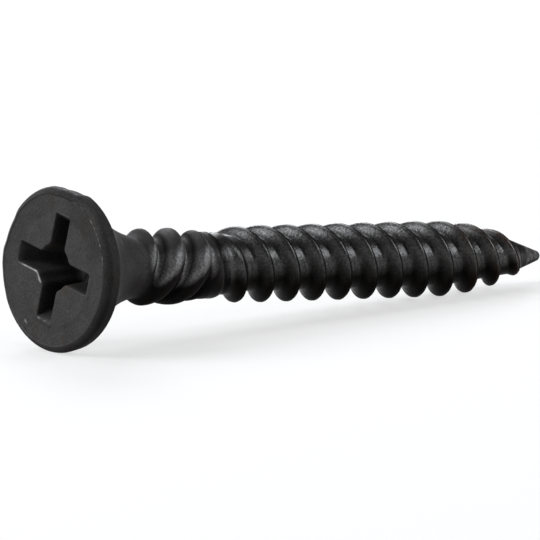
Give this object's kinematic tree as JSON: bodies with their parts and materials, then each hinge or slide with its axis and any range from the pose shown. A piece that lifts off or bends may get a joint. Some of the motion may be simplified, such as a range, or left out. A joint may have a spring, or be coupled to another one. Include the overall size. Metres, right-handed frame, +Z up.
{
  "type": "drywall screw",
  "caption": "Black phosphated drywall screw with a countersunk cross-recess head, a left-hand counter thread under it, a coarse right-hand thread and a sharp point.",
  "frame": {"origin": "on the floor under the middle of the lying screw", "axes": "+X along the screw from its head towards its point, +Z up"},
  "size_m": [0.032, 0.008, 0.008],
  "materials": {
    "phosphated_steel": "black phosphate over hardened steel, matte on the head and neck, with a glossier rolled thread"
  },
  "bodies": {
    "root": {"screw": "phosphated_steel"}
  },
  "joints": []
}
